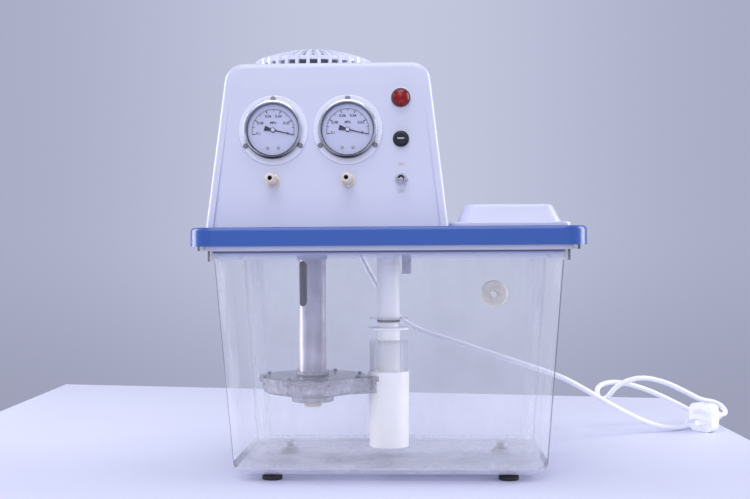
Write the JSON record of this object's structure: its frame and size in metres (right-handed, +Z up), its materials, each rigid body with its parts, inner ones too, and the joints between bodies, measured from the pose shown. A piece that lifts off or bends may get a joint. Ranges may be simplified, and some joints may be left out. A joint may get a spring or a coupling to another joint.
{
  "type": "circulating water vacuum pump",
  "caption": "Bench vacuum pump that runs on circulating water: a clear tank under a blue lid, a white hood with gauges and hose taps, and a submerged pump that feeds a water-jet ejector.",
  "frame": {"origin": "on the table under the middle of the lid", "axes": "+Z up, +X to the operator's right along the lid's long side, +Y to the back; gauges face -Y"},
  "size_m": [0.6328, 0.4784, 0.4557],
  "materials": {
    "clear_tank": "clear moulded plastic, smooth",
    "lid_blue": "satin moulded plastic",
    "white_plastic": "smooth white moulded plastic",
    "tube_white": "plain white pipe plastic",
    "black_rubber": "matt",
    "port_plastic": "milky, slightly yellow",
    "clear_pump": "greyish clear plastic",
    "clear_thin": "clear plastic",
    "milky_tube": "translucent tube",
    "stainless": "turned stainless steel",
    "steel": "bright steel",
    "motor_paint": "dark grey paint",
    "cast_aluminium": "as cast",
    "core_iron": "stacked sheet, varnished",
    "copper": "enamelled copper wire",
    "bronze": "sintered bronze",
    "brass": "turned brass",
    "champagne": "plated, pale gold",
    "chrome": "polished",
    "dial_white": "printed white dial",
    "pointer_black": "black",
    "lens_clear": "clear window",
    "lamp_red": "translucent red",
    "black_plastic": "smooth",
    "nylon_cream": "natural nylon",
    "fuse_glass": "glass tube",
    "cord_white": "soft white sheath",
    "plug_white": "moulded white"
  },
  "bodies": {
    "cabinet": {"water_tank": "clear_tank", "rubber_feet": "black_rubber", "overflow_nozzle": "port_plastic", "overflow_nut": "port_plastic", "lid_cover": "lid_blue", "hood_shell": "white_plastic", "hood_screws": "steel", "motor_cap": "white_plastic", "motor_housing": "motor_paint", "lower_end_bell": "cast_aluminium", "upper_end_bell": "cast_aluminium", "bearings": "steel", "stator_core": "core_iron", "stator_windings": "copper", "pump_column": "stainless", "column_collar": "nylon_cream", "shaft_bush": "bronze", "volute_body": "clear_pump", "volute_cover": "clear_pump", "inlet_ring": "nylon_cream", "volute_screws": "steel", "upper_tube": "tube_white", "tube_disc": "clear_thin", "tube_seal_ring": "black_rubber", "ejector_chamber": "clear_thin", "inner_tube": "tube_white", "silencer_cylinder": "tube_white", "nozzle_plate": "tube_white", "return_tube": "milky_tube", "gauge_flanges": "white_plastic", "gauge_cases": "black_plastic", "gauge_bezels": "chrome", "gauge_dials": "dial_white", "gauge_lenses": "lens_clear", "gauge_movements": "brass", "gauge_screws": "steel", "hose_taps": "champagne", "hose_tap_nuts": "brass", "vacuum_tees": "brass", "lamp_body": "white_plastic", "lamp_lens": "lamp_red", "fuse_holder": "black_plastic", "switch_body": "black_plastic", "switch_nut": "chrome", "start_capacitor": "white_plastic", "terminal_block": "nylon_cream", "suction_hoses": "milky_tube", "cord_gland": "white_plastic", "power_cord": "cord_white", "power_plug": "plug_white"},
    "rotor": {"rotor_core": "core_iron", "motor_shaft": "stainless", "cooling_fan": "black_plastic", "impeller": "nylon_cream"},
    "left_needle": {"gauge_pointer_left": "pointer_black"},
    "right_needle": {"gauge_pointer_right": "pointer_black"},
    "toggle": {"switch_lever": "chrome"},
    "filling_cover": {"hatch_cover": "white_plastic"},
    "fuse_insert": {"fuse_cap": "black_plastic", "fuse_link": "fuse_glass"}
  },
  "joints": [
    {"name": "rotor_spin", "type": "hinge", "parent": "cabinet", "child": "rotor", "pos_m": [-0.0876, 0, 0.326], "axis": [0, 0, 1], "continuous": true},
    {"name": "left_needle_turn", "type": "hinge", "parent": "cabinet", "child": "left_needle", "pos_m": [-0.1162, -0.10805, 0.36017], "axis": [0, -0.9972, 0.075], "range_deg": [0, 205]},
    {"name": "right_needle_turn", "type": "hinge", "parent": "cabinet", "child": "right_needle", "pos_m": [-0.04, -0.10805, 0.36017], "axis": [0, -0.9972, 0.075], "range_deg": [0, 205]},
    {"name": "switch_flip", "type": "hinge", "parent": "cabinet", "child": "toggle", "pos_m": [0.0141, -0.11388, 0.30936], "axis": [-1, 0, 0], "range_deg": [0, 24]},
    {"name": "cover_lift", "type": "slide", "parent": "cabinet", "child": "filling_cover", "axis": [0, 0, 1], "range_m": [0, 0.15]},
    {"name": "fuse_pull", "type": "slide", "parent": "cabinet", "child": "fuse_insert", "axis": [0, -0.9972, 0.075], "range_m": [0, 0.034]}
  ]
}
